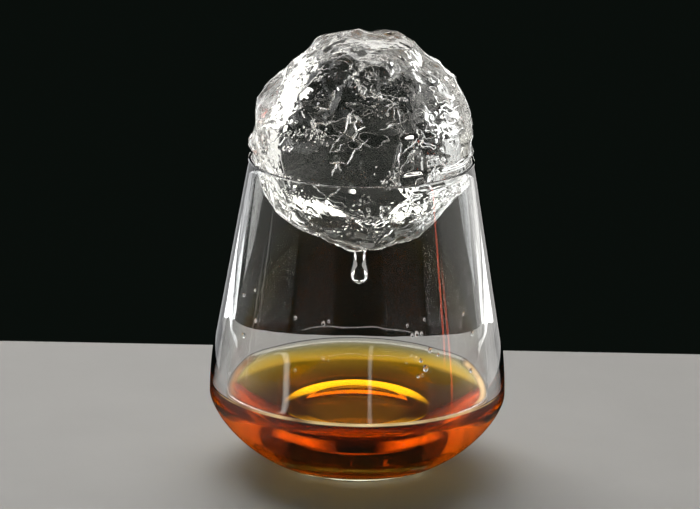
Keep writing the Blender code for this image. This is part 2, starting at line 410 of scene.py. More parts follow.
ice = {
    "radius": 34.1 * mm,
    "centre": (0.5 * mm, 0.0, 101.9 * mm),
    "seed": 7,
    "facets": 64,
    "facetScatter": 0.12,
    "facetDepth": 0.035,
    "facetClearance": 24.0,
    "ridgeSharpness": 60,
    "scoops": 46,
    "scoopDepth": (0.1 * mm, 0.5 * mm),
    "scoopWidth": (5.0, 11.0),
    "ripples": 14,
    "rippleHeight": 0.05 * mm,
    "rippleLength": (6.0 * mm, 12.0 * mm),
    "viewLift": 17.0,
    "outlineFacets": (
        (0.0, 32.8), (24.0, 33.4), (54.0, 33.1), (96.0, 34.2), (132.0, 33.4), (172.0, 33.5),
        (200.0, 33.7), (222.0, 33.6), (246.0, 32.5), (282.0, 32.9), (318.0, 32.2),
    ),
    "ledges": ((184.0, -2.0), (72.0, -3.0), (296.0, -3.0), (350.0, -5.0)),
    "ledgeHeight": 1.1 * mm,
    "ledgeWidth": 9.0,
    "seatBand": 3.5,
    "seatFade": 7.0,
    "seatRelease": 0.1,
    "depth": 33.7 * mm,
    "dripFade": 10.0,
    "gap": 0.3 * mm,
    "around": 384,
    "rings": 190,
    # size and depth of each pattern, how far and over what length it is bent, in sizes, and the seeds of both
    "scallops": ((9.0 * mm, 0.75 * mm, 0.45, 1.4, 37, 141), (4.8 * mm, 0.14 * mm, 0.45, 1.4, 44, 152)),
    "creases": ((6.0 * mm, 0.30 * mm, 0.8, 1.7, 71, 211),),
    "broken": ((5.2 * mm, 1.05 * mm, 0.25, 1.5, 83, 401), (2.8 * mm, 0.36 * mm, 0.25, 1.5, 92, 402)),
    "roughCrease": (2.2 * mm, 0.22 * mm, 1.0, 2.0, 97, 419),
    "pitLeast": 0.25,
    "pitLevel": 0.7,
    "roughLeast": 0.32,
    "roughMiddle": 0.75,
    "roughSwing": 0.45,
    "roughLength": 6.0 * mm,
    "roughSeed": 307,
    "smoothed": 0.9,
    "smoothPatches": (
        # bearing, latitude and half width in degrees of each patch that has melted smooth
        (-98.0, 20.0, 12.0), (-106.0, -3.0, 10.0), (-72.0, -20.0, 9.0), (-112.0, -20.0, 7.0),
        (-35.0, 30.0, 12.0), (150.0, 30.0, 14.0), (60.0, 15.0, 12.0), (100.0, -20.0, 12.0), (0.0, 0.0, 12.0),
    ),
    "roughPatches": (
        # bearing, latitude and half width in degrees of each crazed patch; bearing -90 is the front
        (-115.0, 48.0, 15.0), (-140.0, 22.0, 12.0), (-121.0, 30.0, 9.0), (-80.0, 42.0, 14.0),
        (-57.0, 28.0, 12.0), (-58.0, 8.0, 11.0), (-45.0, -2.0, 12.0), (-80.0, 6.0, 8.0), (-52.0, -22.0, 9.0),
        (-95.0, -34.0, 9.0), (-148.0, -6.0, 12.0), (-125.0, -18.0, 8.0), (-70.0, 66.0, 14.0),
        (-160.0, 50.0, 15.0), (40.0, 10.0, 14.0), (120.0, -10.0, 15.0), (95.0, 35.0, 16.0),
        (60.0, -30.0, 12.0), (10.0, 40.0, 13.0), (160.0, 15.0, 13.0), (85.0, -5.0, 9.0),
    ),
    "tint": (1.0, 0.995, 0.965),
    "ior": 1.31,
    "clearness": 0.975,
    "film": {"Ripple Scale": 130.0, "Smear Scale": 120.0, "Smeared": 0.03},
    "ripple": 0.00006,
    "crazing": {"scale": 300.0, "bend": 1.4, "patchScale": 75.0, "patchEdge": (0.48, 0.68), "depth": 0.0002},
}


def direction(bearing, latitude):
    turn, lift = math.radians(bearing), math.radians(latitude)
    return np.array((math.cos(lift) * math.cos(turn), math.cos(lift) * math.sin(turn), math.sin(lift)))


def angleTo(rays, axis):
    return np.degrees(np.arccos((rays @ axis).clip(-1.0, 1.0)))


def patch(rays, bearing, latitude, width, power):
    # e^-(angle / width)^power: 1 in the middle of a patch and 0 far from it.
    return np.exp(-((angleTo(rays, direction(bearing, latitude)) / width) ** power))


def evenDirections(count):
    # Unit vectors on a golden spiral.
    index = np.arange(count)
    height = 1.0 - 2.0 * (index + 0.5) / count
    turn = index * math.pi * (3.0 - math.sqrt(5.0))
    across = np.sqrt(1.0 - height**2)
    return np.column_stack((across * np.cos(turn), across * np.sin(turn), height))


def facetRadius(rays, draw, i):
    # R (sum of (cos(angle to a cut plane) R / its distance)^n)^(-1/n): the nearest plane, with eased ridges;
    # a viewer in front sees the planes listed for the outline edge on, and the others keep clear of them.
    angles = np.radians([angle for angle, _ in i["outlineFacets"]])
    lift = math.radians(i["viewLift"])
    across, up = np.cos(angles), np.sin(angles)
    shown = np.column_stack((across, up * math.sin(lift), up * math.cos(lift)))
    others = evenDirections(i["facets"])
    others = unit(others + i["facetScatter"] * draw.normal(size=others.shape))
    depths = i["radius"] * (1.0 - i["facetDepth"] * draw.random(i["facets"]))
    free = (others @ shown.T).max(axis=1) < math.cos(math.radians(i["facetClearance"]))
    normals = np.vstack((shown, others[free]))
    depths = np.concatenate(([depth * mm for _, depth in i["outlineFacets"]], depths[free]))
    closeness = (rays @ normals.T).clip(0.05) * i["radius"] / depths
    return i["radius"] * (closeness ** i["ridgeSharpness"]).sum(axis=1) ** (-1.0 / i["ridgeSharpness"])


def scoopDepths(rays, draw, i):
    # Sum of shallow Gaussian hollows about random directions.
    centres = unit(draw.normal(size=(i["scoops"], 3)))
    depths = draw.uniform(*i["scoopDepth"], i["scoops"])
    widths = draw.uniform(*i["scoopWidth"], i["scoops"])
    return (depths * np.exp(-((angleTo(rays, centres.T) / widths) ** 2))).sum(axis=1)


def rippleHeights(rays, draw, i):
    # Sum of plane sine waves through the ball.
    waves = unit(draw.normal(size=(i["ripples"], 3)))
    lengths = draw.uniform(*i["rippleLength"], i["ripples"])
    phases = draw.uniform(0.0, 2.0 * math.pi, i["ripples"])
    turns = 2.0 * math.pi * i["radius"] * (rays @ waves.T) / lengths + phases
    return i["rippleHeight"] * np.sin(turns).sum(axis=1)


def seatLimit(rays, t, i):
    # Distance to the round of the lip, less the gap, in the band of latitude that faces it; freer beyond it.
    half = t["lipThickness"] / 2
    across = np.hypot(rays[:, 0], rays[:, 1]).clip(1e-6)
    ring = t["rimRadius"] - half - i["centre"][0] * rays[:, 0] / across
    drop = i["centre"][2] - (t["height"] - half)
    reach = np.hypot(ring, drop) - half - i["gap"]
    away = np.degrees(np.abs(np.arctan2(rays[:, 2], across) + np.arctan2(drop, ring)))
    ease = ((away - i["seatBand"]) / i["seatFade"]).clip(0.0, 1.0)
    return reach + i["seatRelease"] * i["radius"] * ease**2


def fineRelief(rays, i):
    # Scallops, 2 (d^2 - 1/4) to the nearest cell point, which leave sharp ridges, and creases. Then broken
    # pits and finer creases, by how rough a place is: its strongest rough patch, times noise, less in the
    # smooth patches.
    points = rays * i["radius"]
    total = np.zeros(len(rays))
    for size, depth, *bend, seed in i["scallops"]:
        total += depth * (cellDistance(bent(points, size, *bend), seed) ** 2 - 0.25) * 2.0
    for size, depth, *bend, seed in i["creases"]:
        total -= depth * creased(bent(points, size, *bend), seed)
    rough = np.full(len(rays), i["roughLeast"])
    for spot in i["roughPatches"]:
        rough = np.maximum(rough, patch(rays, *spot, 2))
    rough *= i["roughMiddle"] + i["roughSwing"] * smoothNoise(points / i["roughLength"], i["roughSeed"])
    for spot in i["smoothPatches"]:
        rough *= 1.0 - i["smoothed"] * patch(rays, *spot, 4)
    for size, depth, *bend, seed in i["broken"]:
        nearest, number = brokenCells(bent(points, size, *bend), seed)
        share = i["pitLeast"] + (1.0 - i["pitLeast"]) * number
        total += rough * depth * share * (nearest - i["pitLevel"])
    size, depth, *bend, seed = i["roughCrease"]
    return total - rough * depth * creased(bent(points, size, *bend), seed)


def iceRadius(rays, t, i):
    # Facets, scoops, ripples, ledges and fine relief, flat where the drop hangs, and clear of the lip.
    draw = np.random.default_rng(i["seed"])
    radius = facetRadius(rays, draw, i) - scoopDepths(rays, draw, i) + rippleHeights(rays, draw, i)
    for ledge in i["ledges"]:
        radius += i["ledgeHeight"] * patch(rays, *ledge, i["ledgeWidth"], 4)
    besideDrip = patch(rays, 0.0, -90.0, i["dripFade"], 4)
    radius += fineRelief(rays, i) * (1.0 - besideDrip)
    level = i["depth"] / (-rays[:, 2]).clip(0.5)
    radius = radius * (1.0 - besideDrip) + level * besideDrip
    return np.minimum(radius, seatLimit(rays, t, i))


def sphereRays(rings, around):
    # Unit rays in rings of equal latitude from the top down, then the top and the bottom one.
    polar = np.linspace(0.0, math.pi, rings + 2)[1:-1, None]
    turn = np.linspace(0.0, 2.0 * math.pi, around, endpoint=False)[None, :]
    across = np.sin(polar)
    rays = np.stack((across * np.cos(turn), across * np.sin(turn), np.cos(polar) + 0.0 * turn), -1)
    return np.vstack((rays.reshape(-1, 3), ((0.0, 0.0, 1.0), (0.0, 0.0, -1.0))))


flaws = {
    "seed": 23,
    "alongSteps": 18,
    "roundSteps": 8,
    "length": (3.0 * mm, 8.5 * mm),
    "width": (0.5 * mm, 1.9 * mm),
    "tilt": (50.0, 74.0),
    "thickness": 0.05 * mm,
    "crinkle": 0.45 * mm,
    "crinkleLength": 1.7 * mm,
    "crinkleSeed": 5,
    "swellSeed": 9,
    "swellRun": (7.0, 3.0, 2.0),
    "noiseSpan": 50,
    "swerve": 0.35,
    "curl": 0.25,
    "swell": 0.6,
    "branchScatter": 0.1 * mm,
    "cover": 3.0 * mm,
    "veins": (
        # bearing, latitude, depth below the surface and number of leaves of each branching crack
        (-99.0, 32.0, 4.0 * mm, 8), (-114.0, 24.0, 4.0 * mm, 6), (-86.0, 12.0, 5.0 * mm, 8),
        (-72.0, 2.0, 4.0 * mm, 8), (-66.0, 26.0, 5.0 * mm, 6), (-88.0, 47.0, 4.0 * mm, 5),
        (-78.0, -26.0, 5.0 * mm, 4), (-108.0, -28.0, 4.0 * mm, 4), (90.0, 10.0, 6.0 * mm, 8),
        (20.0, 20.0, 5.0 * mm, 6), (180.0, 10.0, 5.0 * mm, 6), (140.0, -20.0, 5.0 * mm, 4),
        (60.0, -25.0, 5.0 * mm, 4), (0.0, -10.0, 5.0 * mm, 4),
    ),
    "bubbleClouds": (
        # bearing, latitude, depth below the surface, spread and number of each cloud of bubbles
        (-118.0, 18.0, 3.5 * mm, 4.0 * mm, 70), (-58.0, 12.0, 3.5 * mm, 3.5 * mm, 40),
        (-90.0, 40.0, 5.0 * mm, 5.0 * mm, 40), (-75.0, -8.0, 5.0 * mm, 4.0 * mm, 30),
        (70.0, 10.0, 4.0 * mm, 6.0 * mm, 50), (180.0, -5.0, 4.0 * mm, 5.0 * mm, 30),
    ),
    "bubbleRings": (4, 8),
    "bubbleTightness": 0.6,
    "bubbleStretch": (0.9, 1.5),
    "bubbleCover": 2.2 * mm,
    "bubbleRadius": (0.10 * mm, 0.38 * mm),
}


def crackPath(draw, start, centre, length, i, f):
    # From the start along a direction square to the ball's radius, bent and crinkled, kept below the surface.
    out = unit(start - centre)
    side = unit(np.cross(out, draw.normal(size=3)))
    tilt = math.radians(draw.uniform(*f["tilt"]))
    normal = math.sin(tilt) * side + math.cos(tilt) * out
    along = unit(np.cross(normal, out) + f["swerve"] * draw.normal() * np.cross(normal, side))
    u = np.linspace(0.0, 1.0, f["alongSteps"])
    curl = f["curl"] * length * draw.uniform(-1, 1)
    path = start + np.outer(u * length, along) + np.outer(curl * u**2, side)
    for step in (normal, side):
        offset = draw.uniform(0, f["noiseSpan"], 3)
        shape = smoothNoise(path / f["crinkleLength"] + offset, f["crinkleSeed"])
        path = path + np.outer(f["crinkle"] * (shape - shape[0]), step)
    away = path - centre
    reach = np.linalg.norm(away, axis=1)[:, None]
    return centre + away * np.minimum(1.0, (i["depth"] - f["cover"]) / reach), normal


def crackPoints(draw, path, normal, width, f):
    # A leaf: the flat oval (w cos a, t sin a), swelling with sin(pi u)^0.6 and with noise along the path.
    u = np.linspace(0.0, 1.0, f["alongSteps"])
    a = np.linspace(0.0, 2.0 * math.pi, f["roundSteps"], endpoint=False)
    across = unit(np.cross(path[-1] - path[0], normal))
    uneven = smoothNoise(np.outer(u, f["swellRun"]) + draw.uniform(0, f["noiseSpan"], 3), f["swellSeed"])
    swell = np.sin(math.pi * u) ** 0.6 * (1.0 + f["swell"] * uneven)
    flat = np.cos(a)[None, :, None] * across * (0.5 * width * swell)[:, None, None]
    thick = np.sin(a)[None, :, None] * normal * (0.5 * f["thickness"] * swell)[:, None, None]
    leaf = path[:, None, :] + flat + thick
    return np.vstack((leaf[1:-1].reshape(-1, 3), path[0], path[-1]))


def innerHollows(i, f):
    # Closed shells inside the ball: cracks that branch from one another, and bubbles drawn out along Z.
    draw = np.random.default_rng(f["seed"])
    centre = np.array(i["centre"])
    made = []
    for bearing, latitude, depthIn, count in f["veins"]:
        starts = [centre + direction(bearing, latitude) * (i["depth"] - depthIn)]
        for _ in range(count):
            start = starts[draw.integers(len(starts))]
            path, normal = crackPath(draw, start, centre, draw.uniform(*f["length"]), i, f)
            leaf = crackPoints(draw, path, normal, draw.uniform(*f["width"]), f)
            made.append((leaf, (f["alongSteps"] - 2, f["roundSteps"])))
            for place in (path[-2], path[f["alongSteps"] // 2]):
                starts.append(place + f["branchScatter"] * draw.normal(size=3))
    bubble = sphereRays(*f["bubbleRings"])
    for bearing, latitude, depthIn, spread, count in f["bubbleClouds"]:
        middle = centre + direction(bearing, latitude) * (i["depth"] - depthIn)
        for _ in range(count):
            out = middle + spread * draw.normal(size=3) * f["bubbleTightness"] - centre
            place = centre + out * min(1.0, (i["depth"] - f["bubbleCover"]) / np.linalg.norm(out))
            radius = draw.uniform(*f["bubbleRadius"])
            drawnOut = (1.0, 1.0, draw.uniform(*f["bubbleStretch"]))
            made.append((place + radius * bubble * drawnOut, f["bubbleRings"]))
    return made


def makeIce(t, i, f, material):
    # The ball's skin, one ray for each point, and then the skins of its hollows, which look inwards.
    rays = sphereRays(i["rings"], i["around"])
    points = [np.array(i["centre"]) + rays * iceRadius(rays, t, i)[:, None]]
    faces = skinFaces(i["rings"], i["around"])
    total = len(rays)
    for hollowPoints, (rings, around) in innerHollows(i, f):
        points.append(hollowPoints)
        faces += skinFaces(rings, around, total, True)
        total += len(hollowPoints)
    return meshObject("iceBall", np.vstack(points), faces, material)


def makeIceMaterial(i):
    # The wet film, plus fine crazing: folded noise, |n - 0.5|, in patches, on top of the film's ripples.
    material = clearMaterial("clearIce", i)
    tree = material.node_tree
    shader = tree.nodes["Principled BSDF"]
    shader.inputs["Transmission Weight"].default_value = i["clearness"]
    place = tree.nodes["Texture Coordinate"].outputs["Object"]
    c = i["crazing"]
    craze = noiseNode(tree, place, c["scale"], 0.0)
    craze.inputs["Distortion"].default_value = c["bend"]
    folded = mathNode(tree, "SUBTRACT", craze.outputs["Fac"], 0.5)
    folded = mathNode(tree, "ABSOLUTE", folded)
    spots = noiseNode(tree, place, c["patchScale"], 1.0)
    where = mapNode(tree, spots.outputs["Fac"], c["patchEdge"])
    height = mathNode(tree, "MULTIPLY", folded, where.outputs["Result"])
    bump = bumpNode(tree, height, c["depth"])
    tree.links.new(tree.nodes["Bump"].outputs["Normal"], bump.inputs["Normal"])
    tree.links.new(bump.outputs["Normal"], shader.inputs["Normal"])
    return material


iceMaterial = makeIceMaterial(ice)
ball = makeIce(tumbler, ice, flaws, iceMaterial)
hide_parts("ice_ball")
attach(ball, "root")
print("ice ball made")


drip = {
    "top": 68.4 * mm,
    "flareRadius": 3.1 * mm,
    "neckRadius": 1.75 * mm,
    "neckHeight": 65.2 * mm,
    "radius": 2.6 * mm,
    "lowest": 56.2 * mm,
    "flare": 2.2,
    "steps": {"side": 24, "tip": 20},
    "around": 96,
    "tint": (1.0, 1.0, 1.0),
    "ior": 1.33,
    "film": {"Ripple Scale": 200.0, "Smear Scale": 100.0, "Smeared": 0.0},
    "ripple": 0.0,
}


def dripOutline(d):
    # A flared root, a neck, a swelling body and a half-round tip.
    share = np.linspace(0.0, 1.0, d["steps"]["side"])
    flareHeights = d["top"] + (d["neckHeight"] - d["top"]) * share
    flare = d["neckRadius"] + (d["flareRadius"] - d["neckRadius"]) * (1.0 - share) ** d["flare"]
    middle = d["lowest"] + d["radius"]
    swell = share[1:]
    body = d["neckRadius"] + (d["radius"] - d["neckRadius"]) * np.sin(swell * math.pi / 2) ** 2
    bodyHeights = d["neckHeight"] + (middle - d["neckHeight"]) * swell
    turn = np.linspace(0.0, math.pi / 2, d["steps"]["tip"])[1:]
    tip = np.column_stack((d["radius"] * np.cos(turn), middle - d["radius"] * np.sin(turn)))
    tip[-1, 0] = 0.0
    sides = np.column_stack((np.append(flare, body), np.append(flareHeights, bodyHeights)))
    return np.vstack(((0.0, d["top"]), sides, tip))


dripMaterial = clearMaterial("meltwater", drip)
drop = turned("hangingDrop", dripOutline(drip), drip["around"], dripMaterial)
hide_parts("melt_drop")
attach(drop, "root")
print("drop made")


splash = {
    "drops": (
        # bearing from +X round +Z, height and radius in mm of each droplet on the inner wall
        (64.0, 27.2, 0.55), (61.5, 28.1, 0.75), (59.0, 28.6, 0.5), (66.5, 30.4, 0.4), (57.5, 33.5, 0.45),
        (104.0, 30.5, 0.4), (106.5, 29.9, 0.55), (121.0, 33.0, 0.5), (-60.5, 41.0, 0.7), (-62.5, 43.6, 0.45),
        (-58.0, 46.4, 0.55), (-64.0, 38.8, 0.4), (-54.0, 44.6, 0.4), (-140.0, 52.0, 0.5), (-147.0, 46.0, 0.6),
        (-151.0, 58.0, 0.45), (-143.0, 61.0, 0.4), (-38.0, 55.0, 0.45), (-33.0, 48.0, 0.55),
        (-36.0, 37.0, 0.5),
    ),
    "dropScale": 1.25,
    "flatness": 0.55,
    "sag": 1.25,
    "dropRings": (11, 20),
    "edgeFrom": 62.0,
    "edgeTo": 118.0,
    "edgeHeight": 28.4 * mm,
    "edgeLength": 40.0 * mm,
    "edgeWave": 0.5 * mm,
    "edgeWaveLength": 5.0 * mm,
    "noiseOffset": 7.0,
    "noiseSeed": 71,
    "edgeWidth": 0.45 * mm,
    "edgeThickness": 0.22 * mm,
    "edgeSteps": 160,
    "edgeAround": 10,
    "tint": (1.0, 1.0, 1.0),
    "ior": 1.34,
    "film": {"Ripple Scale": 90.0, "Smear Scale": 30.0, "Smeared": 0.0},
    "ripple": 0.0,
}


def wallPlace(t, bearing, height):
    # The point of the inner wall there, with the directions inwards and sideways.
    wall = cavityOutline(t)
    radius = np.interp(height, wall[:, 1], wall[:, 0])
    turn = np.radians(bearing)
    out = np.stack((np.cos(turn), np.sin(turn), 0.0 * turn), -1)
    sideways = np.stack((-np.sin(turn), np.cos(turn), 0.0 * turn), -1)
    place = out * np.asarray(radius)[..., None] + np.asarray(height)[..., None] * (0.0, 0.0, 1.0)
    return place, -out, sideways


def makeWallWater(t, w, material):
    # Flattened ellipsoids half sunk in the wall, and a wavy thread where the wetted part of the wall ends,
    # an oval that swells with sin(pi u)^0.4.
    rays = sphereRays(*w["dropRings"])
    points, faces = [], []
    for count, (bearing, height, radius) in enumerate(w["drops"]):
        place, inwards, sideways = wallPlace(t, bearing, height * mm)
        shape = rays * w["dropScale"] * radius * mm * (1.0, 1.0, w["sag"])
        axes = np.array((w["flatness"] * inwards, sideways, (0.0, 0.0, 1.0)))
        points.append(place + shape @ axes)
        faces += skinFaces(*w["dropRings"], count * len(rays), True)
    share = np.linspace(0.0, 1.0, w["edgeSteps"])
    bearing = w["edgeFrom"] + (w["edgeTo"] - w["edgeFrom"]) * share
    wave = lineNoise(share * w["edgeLength"] / w["edgeWaveLength"], w["noiseOffset"], w["noiseSeed"])
    place, inwards, _ = wallPlace(t, bearing, w["edgeHeight"] + w["edgeWave"] * wave)
    a = np.linspace(0.0, 2.0 * math.pi, w["edgeAround"], endpoint=False)[None, :, None]
    swell = (np.sin(math.pi * share).clip(0.0) ** 0.4)[:, None, None]
    thick = 0.5 * w["edgeThickness"] * np.cos(a) * inwards[:, None, :]
    wide = 0.5 * w["edgeWidth"] * np.sin(a) * np.array((0.0, 0.0, 1.0))
    thread = place[:, None, :] + swell * (thick + wide)
    points.append(np.vstack((thread[1:-1].reshape(-1, 3), place[0], place[-1])))
    faces += skinFaces(w["edgeSteps"] - 2, w["edgeAround"], len(w["drops"]) * len(rays), True)
    return meshObject("wallWater", np.vstack(points), faces, material)


wallMaterial = clearMaterial("wallWater", splash)
wallWater = makeWallWater(tumbler, splash, wallMaterial)
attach(wallWater, "root")
print("wall water made")


slab = {
    "halfWidth": 0.15,
    "front": -0.45,
    "back": 0.12,
    "level": -0.00005,
    "squareness": 24,
    "edgeRound": 0.004,
    "depth": 0.05,
    "innermost": 0.02,
    "steps": {"around": 480, "across": 30, "edge": 8},
    "colour": (0.45, 0.44, 0.425),
    "tones": (0.92, 1.06),
    "grainScale": 30.0,
    "grainDetail": 5.0,
    "roughness": 0.6,
}


def makeFloor(s):
    # A slab: rings of the superellipse |x/a|^n + |y/b|^n = 1 from the middle out, over a round edge and down.
    steps, n = s["steps"], s["squareness"]
    turn = np.linspace(0.0, 2.0 * math.pi, steps["around"], endpoint=False)
    ring = (np.abs(np.cos(turn)) ** n + np.abs(np.sin(turn)) ** n) ** (-1.0 / n)
    bend = np.linspace(0.0, math.pi / 2, steps["edge"])
    share = np.linspace(s["innermost"], 1.0, steps["across"])
    across = np.concatenate((share, np.ones(steps["edge"] + 1)))[:, None]
    out = np.concatenate((0.0 * share, s["edgeRound"] * np.sin(bend), [s["edgeRound"]]))[:, None]
    down = np.concatenate((0.0 * share, s["edgeRound"] * (1.0 - np.cos(bend)), [s["depth"]]))[:, None]
    middle = 0.5 * (s["back"] + s["front"])
    halfWidth, halfLength = s["halfWidth"], 0.5 * (s["back"] - s["front"])
    points = np.empty((len(across), len(turn), 3))
    points[..., 0] = (across * (halfWidth - s["edgeRound"]) + out) * ring * np.cos(turn)
    points[..., 1] = (across * (halfLength - s["edgeRound"]) + out) * ring * np.sin(turn) + middle
    points[..., 2] = s["level"] - down
    material, tree, shader = newMaterial("paleFloor")
    grain = noiseNode(tree, objectPlace(tree), s["grainScale"], s["grainDetail"])
    dark, pale = ((*(tone * c for c in s["colour"]), 1.0) for tone in s["tones"])
    tree.links.new(mixNode(tree, grain.outputs["Fac"], dark, pale), shader.inputs["Base Color"])
    shader.inputs["Roughness"].default_value = s["roughness"]
    ends = [(0.0, middle, s["level"] - lower) for lower in (0.0, s["depth"])]
    floor = closedRings("floor", ends[0], points, ends[1], material)
    floor.visible_glossy = False


warmWhite = (1.0, 0.985, 0.96)
coolWhite = (0.98, 0.99, 1.0)
lighting = {
    "aim": (0.0, 0.0, 0.07),
    "lamps": (
        # name, bearing from +Y towards +X, lift, distance, width, height, brightness, colour, and whether it
        # is seen in gloss and glass
        ("backLoft", -8.0, 52.0, 0.95, 1.10, 0.64, 1.9, (1.0, 0.98, 0.95), True),
        ("spark", -32.0, 40.0, 1.20, 0.07, 0.07, 22.0, (1.0, 0.98, 0.95), True),
        ("floorWash", -25.0, 52.0, 1.10, 0.60, 0.60, 2.9, (1.0, 0.99, 0.97), False),
    ),
    "cards": (
        # name, first and last bearing, lowest and highest point, distance, brightness, colour, edge softness
        ("rightLow", 22.0, 62.0, -0.60, -0.12, 0.62, 3.2, warmWhite, 0.02),
        ("rightMiddle", 24.0, 62.0, -0.12, 0.10, 0.62, 1.3, warmWhite, 0.03),
        ("rightHighMiddle", 24.0, 62.0, 0.10, 0.24, 0.62, 2.6, warmWhite, 0.03),
        ("rightUpper", 22.0, 62.0, 0.24, 0.48, 0.62, 0.8, warmWhite, 0.02),
        ("rightHigh", 22.0, 110.0, 0.48, 0.85, 0.62, 3.6, warmWhite, 0.02),
        ("rightWing", 62.0, 102.0, -0.12, 0.08, 0.62, 0.36, (1.0, 0.98, 0.90), 0.02),
        ("rightWingMiddle", 62.0, 110.0, 0.10, 0.25, 0.62, 2.0, (1.0, 0.98, 0.93), 0.02),
        ("rightWingHigh", 62.0, 110.0, 0.25, 0.48, 0.62, 5.6, (1.0, 0.98, 0.93), 0.02),
        ("redEdge", 103.0, 105.5, -0.12, 0.07, 0.62, 9.0, (1.0, 0.16, 0.08), 0.3),
        ("leftLow", -62.0, -22.0, -0.60, -0.12, 0.62, 3.2, coolWhite, 0.02),
        ("leftMiddle", -46.0, -22.0, -0.12, 0.05, 0.62, 0.9, coolWhite, 0.03),
        ("leftHighMiddle", -57.0, -22.0, 0.05, 0.26, 0.62, 2.6, coolWhite, 0.02),
        ("leftUpper", -57.0, -22.0, 0.26, 0.48, 0.62, 1.0, coolWhite, 0.02),
        ("leftHigh", -110.0, -22.0, 0.48, 0.85, 0.62, 3.6, coolWhite, 0.02),
        ("leftWingMiddle", -110.0, -57.0, 0.12, 0.25, 0.62, 2.2, (1.0, 0.99, 0.97), 0.02),
        ("leftWingHigh", -110.0, -57.0, 0.25, 0.48, 0.62, 7.6, (1.0, 0.99, 0.97), 0.02),
        ("leftStrip", -88.0, -86.0, -0.12, 0.06, 0.62, 1.4, (1.0, 1.0, 1.0), 0.3),
        ("lowLeft", -22.0, -3.0, 0.09, 0.165, 0.60, 6.5, (1.0, 0.97, 0.93), 0.4),
        ("lowRight", 3.0, 21.0, 0.09, 0.165, 0.60, 6.5, (1.0, 0.97, 0.93), 0.4),
        ("lowLine", -14.0, 14.0, 0.154, 0.166, 0.60, 2.0, (1.0, 0.97, 0.93), 0.3),
        ("surfaceStrip", -7.2, -6.0, 0.188, 0.254, 0.60, 2.2, (1.0, 0.97, 0.90), 0.45),
        ("surfaceSpot", -8.0, -6.2, 0.228, 0.248, 0.60, 2.6, (1.0, 0.98, 0.94), 0.45),
        ("thinStrip", 0.75, 1.25, 0.186, 0.246, 0.60, 1.2, (1.0, 0.97, 0.90), 0.45),
        ("backGleam", -28.0, 28.0, 0.46, 0.82, 0.62, 8.0, (1.0, 0.98, 0.95), 0.1),
        ("overhead", -60.0, 60.0, 0.60, 0.95, 0.25, 2.5, (1.0, 0.98, 0.93), 0.1),
        ("frontRight", 112.0, 158.0, 0.20, 0.60, 0.62, 1.8, (1.0, 1.0, 0.98), 0.1),
        ("frontLeft", -158.0, -112.0, 0.20, 0.60, 0.62, 1.8, (1.0, 1.0, 0.98), 0.1),
        ("frontHigh", 130.0, 230.0, 0.45, 0.80, 0.70, 0.6, (0.97, 1.0, 0.95), 0.1),
    ),
    "cardSteps": (33, 17),
    "onlyThrough": ("rightLow", "leftLow"),
    "streaks": {"scale": 26.0, "detail": 3.0, "upright": 0.05, "from": (0.35, 0.60), "to": (0.6, 1.0)},
}


def makeLamps(s):
    # Brightness is the lamp's radiance, so its power is pi times that, times its area.
    aim = Vector(s["aim"])
    for name, bearing, lift, distance, width, height, brightness, colour, seen in s["lamps"]:
        turn, up = math.radians(bearing), math.radians(lift)
        away = Vector((math.cos(up) * math.sin(turn), math.cos(up) * math.cos(turn), math.sin(up)))
        lamp = bpy.data.lights.new(name, "AREA")
        lamp.shape = "RECTANGLE"
        lamp.size, lamp.size_y = width, height
        lamp.energy = math.pi * brightness * width * height
        lamp.color = colour
        holder = bpy.data.objects.new(name, lamp)
        holder.location = aim + away * distance
        holder.rotation_euler = away.to_track_quat("Z", "Y").to_euler()
        holder.visible_camera = False
        holder.visible_glossy = seen
        holder.visible_transmission = seen
        bpy.context.scene.collection.objects.link(holder)


def shine(tree, shader, share, colour, strength):
    # Emission from black to the colour, by the share of it that shows.
    black = (0.0, 0.0, 0.0, 1.0)
    tree.links.new(mixNode(tree, share, black, colour), shader.inputs["Emission Color"])
    shader.inputs["Emission Strength"].default_value = strength


def attribute(tree, name):
    found = tree.nodes.new("ShaderNodeAttribute")
    found.attribute_name = name
    return found.outputs


def cardMaterial(name, brightness, colour, softness, streaks):
    # A softbox's cloth: emission with faint upright streaks, which rises smoothly from 0 at the card's edge
    # to its full value where the "edge" share reaches the softness.
    material, tree, shader = newMaterial(name)
    stretch = tree.nodes.new("ShaderNodeMapping")
    stretch.inputs["Scale"].default_value = (1.0, 1.0, streaks["upright"])
    tree.links.new(objectPlace(tree), stretch.inputs["Vector"])
    cloth = noiseNode(tree, stretch.outputs["Vector"], streaks["scale"], streaks["detail"])
    level = mapNode(tree, cloth.outputs["Fac"], streaks["from"], streaks["to"])
    soften = mapNode(tree, attribute(tree, "edge")["Fac"], (0.0, softness))
    soften.interpolation_type = "SMOOTHSTEP"
    both = mathNode(tree, "MULTIPLY", level.outputs["Result"], soften.outputs["Result"])
    shine(tree, shader, both, (*colour, 1.0), brightness)
    shader.inputs["Base Color"].default_value = (0.0, 0.0, 0.0, 1.0)
    shader.inputs["Roughness"].default_value = 1.0
    shader.inputs["Specular IOR Level"].default_value = 0.0
    return material


def gridFaces(rows, cols):
    # Quads between neighbouring rows and columns of a sheet of points.
    row = np.arange(rows - 1)[:, None] * cols
    col = np.arange(cols - 1)[None, :]
    corners = (row + col, row + col + 1, row + cols + col + 1, row + cols + col)
    return np.stack(corners, -1).reshape(-1, 4).tolist()


def hideFromView(made, inGloss):
    # Seen only through glass and, if asked, in gloss, so that it lights the glass and the ice alone.
    made.visible_camera = False
    made.visible_diffuse = False
    made.visible_shadow = False
    made.visible_glossy = inGloss


